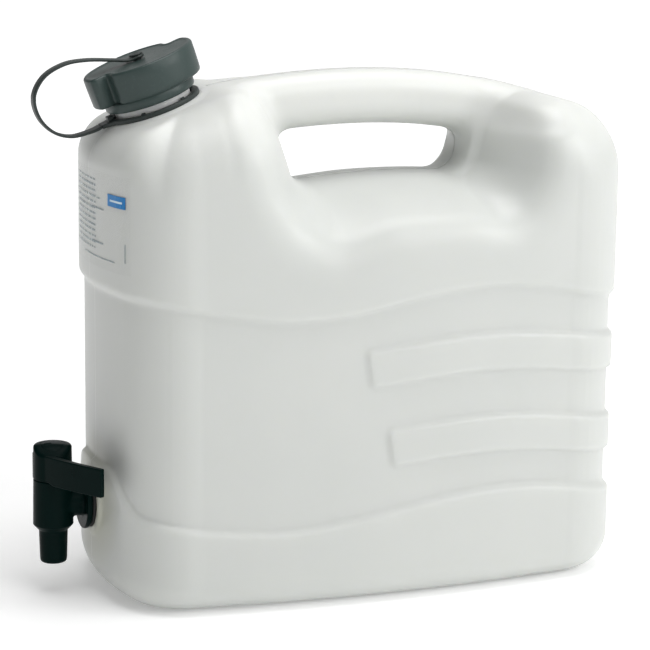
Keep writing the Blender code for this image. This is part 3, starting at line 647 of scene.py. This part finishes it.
def cut_eye(strap):
    """The hole that the button's stem goes through."""
    hole = STEM_RADIUS + GAP
    tool = turned("eye_tool", [(0.0, 0.024), (hole, 0.024), (hole, 0.038), (0.0, 0.038)],
                  NECK_PLACE, 32)
    cut = strap.modifiers.new("eye", "BOOLEAN")
    cut.operation = "DIFFERENCE"
    cut.solver = "EXACT"
    cut.object = tool
    bpy.context.view_layer.update()
    depsgraph = bpy.context.evaluated_depsgraph_get()
    done = bpy.data.meshes.new_from_object(strap.evaluated_get(depsgraph))
    strap.modifiers.clear()
    strap.data = done
    bpy.data.objects.remove(tool)


def build_tether():
    reach = RING_OUTER + TAB_REACH
    ring = field_object("tether_loop", tether_ring, (-reach, -RING_OUTER, GAP),
                        (RING_OUTER, RING_OUTER, BLOCK_TOP), RING_VOXEL, NECK_PLACE)
    finish_piece(ring, "tether", tether_plastic(), "tether_ring")
    build_strap()
    head = CAP_TOP + 2 * GAP + STRAP_THICK
    roof = CAP_TOP - CAP_ROOF - GAP
    button = turned("button", [
        (0.0, head + 0.0004), (0.0014, head + 0.0005), (0.0024, head + 0.0008),
        (0.0033, head + 0.0007), (BUTTON_RADIUS - 0.0002, head + 0.0005),
        (BUTTON_RADIUS, head + 0.0002), (BUTTON_RADIUS - 0.0002, head), (STEM_RADIUS, head),
        (STEM_RADIUS, roof), (STEM_RADIUS + 0.0012, roof), (STEM_RADIUS + 0.0009, roof - 0.0007),
        (STEM_RADIUS, roof - 0.0013), (0.0, roof - 0.0013)], NECK_PLACE, 40)
    finish_piece(button, "cap_carrier", tether_plastic(), "tether_button")


# Tap ---------------------------------------------------------------------------------------------
# (height, radius) points of the spout and the barrel
BARREL = ((SPOUT_FOOT, SPOUT_RADIUS - 0.0006), (0.0225, SPOUT_RADIUS - 0.0003),
          (0.0388, SPOUT_RADIUS + 0.0002), (0.0395, SPOUT_RADIUS + 0.0006),
          (0.0403, SPOUT_RADIUS + 0.0014), (BARREL_FOOT, BARREL_RADIUS + 0.0004),
          (BARREL_TOP, BARREL_RADIUS))


def tap_housing(x, y, z):
    """Barrel, tapered spout, inlet tube and flange in one moulding, with their bores."""
    radius = np.hypot(x, y)
    profile = np.interp(z, [p[0] for p in BARREL], [p[1] for p in BARREL])
    body = round_max((radius - profile) * 0.92, SPOUT_FOOT - z, 0.0014)
    body = round_max(body, z - BARREL_TOP, 0.0005)
    off = np.hypot(y, z - TAP_HEIGHT)
    tube = np.maximum(off - INLET_RADIUS, np.maximum(0.004 - x, x - TAP_REACH - INLET_REACH))
    body = soft_min(body, tube, 0.0016)
    near = GASKET_FACE - GAP - FLANGE_THICK
    disc = np.maximum(near - x, x - GASKET_FACE + GAP)
    body = soft_min(body, round_max(off - FLANGE_RADIUS, disc, 0.0009), 0.0014)
    body = soft_max(body, -np.maximum(radius - PLUG_RADIUS - GAP, WELL_FOOT - z), 0.0002)
    body = soft_max(body, -np.maximum(radius - SPOUT_BORE, z - SPOUT_BORE_TOP), 0.0006)
    return soft_max(body, -np.maximum(off - INLET_BORE, -x), 0.0003)


def arm_outline():
    """The lever's blade seen from above: it leaves the hub's front and sweeps to the side."""
    steps = 12
    outer = [Vector((mix(-0.0116, 0.0162, (i / steps) ** 1.25), mix(0.0030, -0.0490, i / steps)))
             for i in range(steps + 1)]
    inner = []
    for i, spot in enumerate(outer):
        along = (outer[min(i + 1, steps)] - outer[max(i - 1, 0)]).normalized()
        thick = mix(ARM_THICK + 0.0012, ARM_THICK - 0.0010, i / steps)
        inner.append(spot + Vector((-along.y, along.x)) * thick)
    return [tuple(p) for p in outer + inner[::-1]]


def tap_lever(x, y, z):
    """Hub with its blade, and the plug below with its hollow and side port.

    The hub's top is domed, falls towards the blade, and has a sunk ring and a raised pointer.
    """
    radius = np.hypot(x, y)
    floor = BARREL_TOP + GAP
    hub_radius = BARREL_RADIUS - 0.0002
    dome = 0.0008 * (1 - (np.minimum(radius, hub_radius) / hub_radius) ** 2)
    ring = MARK_HEIGHT * smoothstep(0.0004, 0.0, np.abs(radius - 0.0072))
    pointer = np.maximum(np.abs(x + 0.0030) - 0.0022, np.abs(y) - 0.0005)
    mark = MARK_HEIGHT * (1 - smoothstep(-0.0001, 0.0003, pointer))
    slope = 0.0044 * smoothstep(0.0010, 0.0112, -0.35 * x - 0.937 * y)
    top = z - LEVER_TOP - dome + ring - mark + slope
    wider = 0.0002 * (1 - smoothstep(floor, LEVER_TOP, z))
    hub = round_max(radius - hub_radius - wider, top, 0.0016)
    hub = np.maximum(hub, floor - z)
    foot = floor - 0.0012 * smoothstep(0.0128, 0.0160, radius)
    blade = round_max(outline_distance(arm_outline(), x, y),
                      np.maximum(z - ARM_TOP, foot - z), 0.0005)
    body = soft_min(hub, blade, 0.0005)
    plug = round_max(radius - PLUG_RADIUS, PLUG_FOOT - z, 0.0006)
    body = np.minimum(body, np.maximum(plug, z - floor - 0.001))
    body = soft_max(body, -np.maximum(radius - SPOUT_BORE, z - HOLLOW_TOP), 0.0003)
    port = np.hypot(x, z - TAP_HEIGHT) - PORT_RADIUS
    return soft_max(body, -np.maximum(port, y), 0.0003)


def build_tap():
    dark = tap_plastic()
    housing = field_object("tap_body", tap_housing, (-0.0122, -FLANGE_RADIUS, SPOUT_FOOT),
                           (TAP_REACH + INLET_REACH, FLANGE_RADIUS, BARREL_TOP + 0.003),
                           TAP_VOXEL, TAP_PLACE)
    finish_piece(housing, "canister", dark, "tap_housing")
    lever = field_object("tap_handle", tap_lever, (-0.0122, -0.0500, PLUG_FOOT),
                         (0.0200, 0.0122, LEVER_TOP + 0.001), TAP_VOXEL, TAP_PLACE)
    finish_piece(lever, "tap_plug", dark, "tap_lever")
    near, far = GASKET_FACE, TAP_REACH - GAP
    hole, edge = INLET_RADIUS + GAP, FLANGE_RADIUS - 0.0006
    place = TAP_PLACE @ Matrix.Translation((0, 0, TAP_HEIGHT))
    place = place @ Matrix.Rotation(math.pi / 2, 4, "Y")
    gasket = turned("gasket", [
        (hole, near), (edge - 0.0006, near), (edge, near + 0.0005), (edge, far - 0.0005),
        (edge - 0.0006, far), (hole, far)], place, 96, looped=True)
    finish_piece(gasket, "canister", rubber(), "tap_gasket")


# Label -------------------------------------------------------------------------------------------
def front_outline():
    """Points and normals along the front of the upper band, and the distance from its middle."""
    points, normals = waist_quarter(80)
    points = points + normals * BAND
    length = np.append(0, np.cumsum(np.linalg.norm(np.diff(points, axis=0), axis=1)))
    spots = np.linspace(-LABEL_HALF, LABEL_HALF, 97)
    rows = []
    for s in spots:
        spot = [np.interp(abs(s), length, points[:, i]) for i in (0, 1)]
        turn = [np.interp(abs(s), length, normals[:, i]) for i in (0, 1)]
        side = -1.0 if s > 0 else 1.0
        rows.append((np.array(spot) * (-1, side), np.array(turn) * (-1, side), s))
    return rows


def build_label():
    """A thin printed film round the front; its UV map holds metres along and up the film."""
    rows = front_outline()
    levels = np.linspace(LABEL_LOW, LABEL_HIGH, 15)
    loop = [(level, GAP) for level in levels]
    loop += [(level, GAP + LABEL_THICK) for level in levels[::-1]]
    rings = []
    for spot, normal, _ in rows:
        rings.append([(*(spot + normal * out), level) for level, out in loop])
    film = loft("label_sheet", rings, TANK_PLACE)
    write_film_uv(film, rows)
    finish_piece(film, "canister", printed_film(), "front_label")


def write_film_uv(film, rows):
    """Each corner's UV is its distance along the film from the middle, and its height."""
    places = np.array([row[0] for row in rows])
    along = np.array([row[2] for row in rows])
    layer = film.data.uv_layers.new(name="film")
    for loop in film.data.loops:
        spot = film.data.vertices[loop.vertex_index].co
        gap = (places[:, 0] - spot.x + TANK_X) ** 2 + (places[:, 1] - spot.y) ** 2
        layer.data[loop.index].uv = (along[gap.argmin()], spot.z)


# Materials ---------------------------------------------------------------------------------------
class Paint:
    """One material's nodes; detail is in metres, from the piece's own coordinates."""

    def __init__(self, name, **constants):
        self.material = bpy.data.materials.new(name)
        self.material.use_nodes = True
        self.tree = self.material.node_tree
        self.shader = self.tree.nodes["Principled BSDF"]
        for socket, value in constants.items():
            self.shader.inputs[socket.replace("_", " ")].default_value = value
        self.place = self.add("ShaderNodeTexCoord").outputs["Object"]

    def add(self, kind, inputs=(), **settings):
        node = self.tree.nodes.new(kind)
        for key, value in settings.items():
            setattr(node, key, value)
        for socket, value in dict(inputs).items():
            if isinstance(value, bpy.types.NodeSocket):
                self.tree.links.new(value, node.inputs[socket])
            else:
                node.inputs[socket].default_value = value
        return node

    def math(self, operation, a, b=0.0, c=0.0):
        return self.add("ShaderNodeMath", {0: a, 1: b, 2: c}, operation=operation).outputs[0]

    def noise(self, scale, detail=3.0, stretch=None, place=None):
        place = place or self.place
        if stretch:
            place = self.add("ShaderNodeMapping", {"Vector": place, "Scale": stretch}).outputs[0]
        sockets = {"Vector": place, "Scale": scale, "Detail": detail}
        return self.add("ShaderNodeTexNoise", sockets).outputs["Fac"]

    def ranged(self, value, low, high, to_low, to_high):
        sockets = {0: value, 1: low, 2: high, 3: to_low, 4: to_high}
        return self.add("ShaderNodeMapRange", sockets).outputs[0]

    def blend(self, share, a, b):
        node = self.add("ShaderNodeMix", data_type="RGBA")
        for socket, value in ((node.inputs[0], share), (node.inputs[6], a), (node.inputs[7], b)):
            if isinstance(value, bpy.types.NodeSocket):
                self.tree.links.new(value, socket)
            else:
                socket.default_value = value
        return node.outputs[2]

    def bump(self, height, distance, strength, under=None):
        sockets = {"Height": height, "Distance": distance, "Strength": strength}
        if under:
            sockets["Normal"] = under
        return self.add("ShaderNodeBump", sockets).outputs[0]

    def finish(self, colour, roughness, normal):
        self.tree.links.new(colour, self.shader.inputs["Base Color"])
        self.tree.links.new(roughness, self.shader.inputs["Roughness"])
        self.tree.links.new(normal, self.shader.inputs["Normal"])
        return self.material


def natural_plastic():
    """Milky polyethylene: seam, grain, marks, painted top highlight, painted yellow shade at the tap.
    """
    paint = Paint("natural_hdpe", Subsurface_Weight=0.45, Subsurface_Scale=0.012, IOR=1.5,
                  Subsurface_Radius=(1.0, 1.0, 0.85))
    cloud = paint.noise(14.0, 2.0)
    colour = paint.blend(cloud, (0.565, 0.583, 0.562, 1), (0.605, 0.618, 0.595, 1))
    split = paint.add("ShaderNodeSeparateXYZ", {0: paint.place}).outputs
    # Painted highlight: the colour turns paler from 0.262 m up to the handle's top, standing in for
    # light from above.
    painted_top_highlight = paint.ranged(split[2], 0.262, 0.300, 0.0, 1.0)
    colour = paint.blend(painted_top_highlight, colour, (0.70, 0.71, 0.685, 1))
    # Painted shade: a darker, yellowish colour round the tap's socket that fades out by 45 mm,
    # standing in for the tap's shadow seen through the wall.
    socket = Vector((BOSS_FACE + TANK_X, 0, TAP_HEIGHT))
    reach = paint.add("ShaderNodeVectorMath", {0: paint.place, 1: socket}, operation="DISTANCE")
    painted_tap_shade = paint.ranged(reach.outputs["Value"], 0.018, 0.045, 0.55, 0.0)
    colour = paint.blend(painted_tap_shade, colour, (0.50, 0.50, 0.36, 1))
    rub = paint.noise(60.0, 6.0, (1.0, 1.0, 0.6))
    marks = paint.ranged(rub, 0.60, 0.80, 0.0, 0.20)
    colour = paint.blend(marks, colour, (0.57, 0.585, 0.57, 1))
    rough = paint.math("ADD", paint.ranged(cloud, 0.3, 0.7, 0.34, 0.42),
                       paint.math("MULTIPLY", marks, 0.35))
    uneven = paint.bump(paint.noise(22.0, 1.5), 0.0012, 0.35)
    grain = paint.bump(paint.noise(1600.0, 2.0), 0.00005, 0.6, uneven)
    side = paint.math("ABSOLUTE", split[1])
    seam = paint.ranged(side, 0.0002, 0.0006, 1.0, 0.0)
    colour = paint.blend(paint.math("MULTIPLY", seam, 0.6), colour, (0.82, 0.83, 0.81, 1))
    scratch = paint.bump(paint.noise(420.0, 5.0, (1.0, 1.0, 0.3)), 0.00003, 0.4, grain)
    return paint.finish(colour, rough, paint.bump(seam, 0.00035, 0.8, scratch))


def moulded(name, dark, pale, rough, grain, gloss=0.40):
    """Injection-moulded plastic with a faint flow pattern, fine grain and rubbed patches."""
    paint = Paint(name, IOR=1.45, Specular_IOR_Level=gloss)
    flow = paint.noise(55.0, 3.0)
    rubbed = paint.ranged(paint.noise(420.0, 7.0), 0.56, 0.76, 0.0, 1.0)
    colour = paint.blend(flow, dark, pale)
    worn = [2.5 * c for c in pale[:3]] + [1]
    colour = paint.blend(paint.math("MULTIPLY", rubbed, 0.12), colour, worn)
    shine = paint.ranged(flow, 0.3, 0.7, rough - 0.05, rough + 0.05)
    shine = paint.math("ADD", shine, paint.math("MULTIPLY", rubbed, 0.08))
    waves = paint.bump(paint.noise(90.0, 2.0), 0.0002, 0.25)
    skin = paint.bump(paint.noise(grain, 2.0), 0.00006, 0.7, waves)
    return paint.finish(colour, shine, skin)


def cap_plastic():
    return moulded("cap_plastic", (0.028, 0.045, 0.042, 1), (0.036, 0.057, 0.053, 1), 0.36, 2400.0)


def tether_plastic():
    return moulded("tether_plastic", (0.020, 0.028, 0.026, 1), (0.028, 0.037, 0.035, 1), 0.44, 1800.0)


def tap_plastic():
    return moulded("tap_plastic", (0.0006, 0.0062, 0.0054, 1), (0.0012, 0.0090, 0.0080, 1),
                   0.32, 2200.0, 0.05)


def rubber():
    return moulded("rubber", (0.010, 0.010, 0.010, 1), (0.014, 0.014, 0.014, 1), 0.62, 1300.0)


def liner_foam():
    """Closed-cell foam: pale, with fine round cells."""
    paint = Paint("liner_foam")
    cells = paint.add("ShaderNodeTexVoronoi", {"Vector": paint.place, "Scale": 2600.0})
    cells = cells.outputs["Distance"]
    colour = paint.blend(cells, (0.70, 0.70, 0.66, 1), (0.80, 0.80, 0.77, 1))
    rough = paint.ranged(paint.noise(300.0), 0.3, 0.7, 0.70, 0.85)
    return paint.finish(colour, rough, paint.bump(cells, 0.0001, 0.7))


def printed_film():
    """Clear label film, printed with plain bars, rows of dashes and a plain blue patch.

    Patches are (left, right, bottom, top) in metres, along the film and above the base.
    """
    rows_per_metre = 300.0
    dashes_per_metre = 420.0
    paint = Paint("label_film", IOR=1.46, Specular_IOR_Level=0.25)
    along, up, _ = paint.add(
        "ShaderNodeSeparateXYZ", {0: paint.add("ShaderNodeTexCoord").outputs["UV"]}).outputs

    def patch(low, high, bottom, top):
        wide = paint.math("COMPARE", along, (low + high) / 2, (high - low) / 2)
        tall = paint.math("COMPARE", up, (bottom + top) / 2, (top - bottom) / 2)
        return paint.math("MULTIPLY", wide, tall)

    row = paint.math("MULTIPLY", up, rows_per_metre)
    rows = paint.math("LESS_THAN", paint.math("FRACT", row), 0.38)
    dash = paint.math("MULTIPLY", along, dashes_per_metre)
    spot = paint.add("ShaderNodeCombineXYZ", {0: dash, 1: paint.math("FLOOR", row)})
    words = paint.math("GREATER_THAN", paint.noise(1.0, 1.0, place=spot.outputs[0]), 0.44)
    block = patch(-0.030, 0.014, 0.208, 0.251)
    ink = paint.math("MULTIPLY", paint.math("MULTIPLY", rows, words), block)
    bars = ((-0.009, 0.041, 0.2056, 0.2064), (0.008, 0.027, 0.2340, 0.2350),
            (0.008, 0.026, 0.2140, 0.2150), (0.0515, 0.0525, 0.2070, 0.2180),
            (0.016, 0.021, 0.2400, 0.2408), (0.034, 0.038, 0.2056, 0.2066))
    for bar in bars:
        ink = paint.math("MAXIMUM", ink, patch(*bar))
    blue = patch(0.0325, 0.0525, 0.2378, 0.2448)
    pale = patch(0.0355, 0.0495, 0.2407, 0.2418)
    faded = paint.ranged(paint.noise(900.0, 3.0), 0.3, 0.7, 0.24, 0.48)
    colour = paint.blend(blue, (0.16, 0.25, 0.29, 1), (0.001, 0.180, 0.480, 1))
    colour = paint.blend(pale, colour, (0.62, 0.74, 0.80, 1))
    cover = paint.math("MAXIMUM", paint.math("MULTIPLY", ink, faded), blue)
    colour = paint.blend(paint.math("GREATER_THAN", cover, 0.05), (0.62, 0.64, 0.63, 1), colour)
    cover = paint.math("MAXIMUM", cover, 0.015)
    paint.tree.links.new(cover, paint.shader.inputs["Alpha"])
    rough = paint.ranged(paint.noise(120.0, 4.0), 0.3, 0.7, 0.24, 0.36)
    return paint.finish(colour, rough, paint.bump(paint.noise(160.0, 2.0), 0.00015, 0.3))


def pale_floor():
    """A white floor, lit by the lamps near the canister and more by its own glow further off."""
    paint = Paint("pale_floor", Emission_Color=(1, 1, 1, 1))
    away = paint.add("ShaderNodeVectorMath", {0: paint.place}, operation="LENGTH").outputs["Value"]
    glow = paint.ranged(away, 0.4, 2.0, 0.20, 0.66)
    paint.tree.links.new(glow, paint.shader.inputs["Emission Strength"])
    tone = paint.noise(3.0, 2.0)
    colour = paint.blend(tone, (0.93, 0.93, 0.93, 1), (0.95, 0.95, 0.95, 1))
    rough = paint.ranged(tone, 0.3, 0.7, 0.65, 0.75)
    return paint.finish(colour, rough, paint.bump(paint.noise(40.0), 0.0002, 0.1))


# Stage -------------------------------------------------------------------------------------------
def build_stage():
    """A white floor under soft light, which is weaker from in front of the canister, at -X."""
    bpy.ops.mesh.primitive_plane_add(size=60, location=(0, 0, 0))
    floor = bpy.context.object
    floor.name = "floor"
    floor.data.materials.append(pale_floor())
    world = bpy.data.worlds.new("studio")
    bpy.context.scene.world = world
    world.use_nodes = True
    tree = world.node_tree
    back = tree.nodes["Background"]
    back.inputs["Strength"].default_value = 0.64
    place = tree.nodes.new("ShaderNodeTexCoord")
    split = tree.nodes.new("ShaderNodeSeparateXYZ")
    shade = tree.nodes.new("ShaderNodeMapRange")
    shade.interpolation_type = "SMOOTHSTEP"
    shade.inputs["From Min"].default_value = -0.9
    shade.inputs["From Max"].default_value = 0.5
    shade.inputs["To Min"].default_value = 0.20
    shade.inputs["To Max"].default_value = 1.0
    tree.links.new(place.outputs["Generated"], split.inputs[0])
    tree.links.new(split.outputs["X"], shade.inputs["Value"])
    tree.links.new(shade.outputs[0], back.inputs["Color"])


def add_light(name, place, size, power):
    """A rectangular lamp turned towards the canister's middle."""
    target = (0, 0, 0.15)
    data = bpy.data.lights.new(name, "AREA")
    data.shape = "RECTANGLE"
    data.size, data.size_y = size
    data.energy = power
    lamp = bpy.data.objects.new(name, data)
    bpy.context.scene.collection.objects.link(lamp)
    lamp.location = place
    lamp.rotation_euler = (Vector(target) - Vector(place)).to_track_quat("-Z", "Y").to_euler()


def build_camera():
    """The photograph's view, as fitted to the tank's outline."""
    target = Vector((0.00295, 0, 0.15307))
    distance = 1.4693
    data = bpy.data.cameras.new("camera")
    data.lens = 132.9
    data.sensor_width = 36
    data.clip_end = 50
    camera = bpy.data.objects.new("camera", data)
    bpy.context.scene.collection.objects.link(camera)
    yaw, pitch, roll = (math.radians(a) for a in (20.53, 11.53, -0.70))
    forward = Vector((math.sin(yaw) * math.cos(pitch), math.cos(yaw) * math.cos(pitch),
                      -math.sin(pitch)))
    level = Vector((math.cos(yaw), -math.sin(yaw), 0))
    rise = level.cross(forward)
    right = level * math.cos(roll) - rise * math.sin(roll)
    up = rise * math.cos(roll) + level * math.sin(roll)
    place = Matrix((right, up, -forward)).transposed().to_4x4()
    place.translation = target - forward * distance
    camera.matrix_world = place
    bpy.context.scene.camera = camera


def finish_liner():
    """The cap's liner keeps its CAD shape and gets a better material."""
    slots = frame["nodes"]["cap_seal"].data.materials
    slots.clear()
    slots.append(liner_foam())


build_camera()
build_stage()
add_light("key", (0.6, -1.6, 1.2), (1.1, 0.9), 7)
add_light("side", (1.4, -1.0, 1.0), (0.6, 0.9), 8)
add_light("top", (0.1, -0.2, 1.9), (1.3, 1.1), 19)
build_tank()
build_cap()
build_tether()
build_tap()
build_label()
finish_liner()
bpy.context.scene.view_settings.view_transform = "Standard"
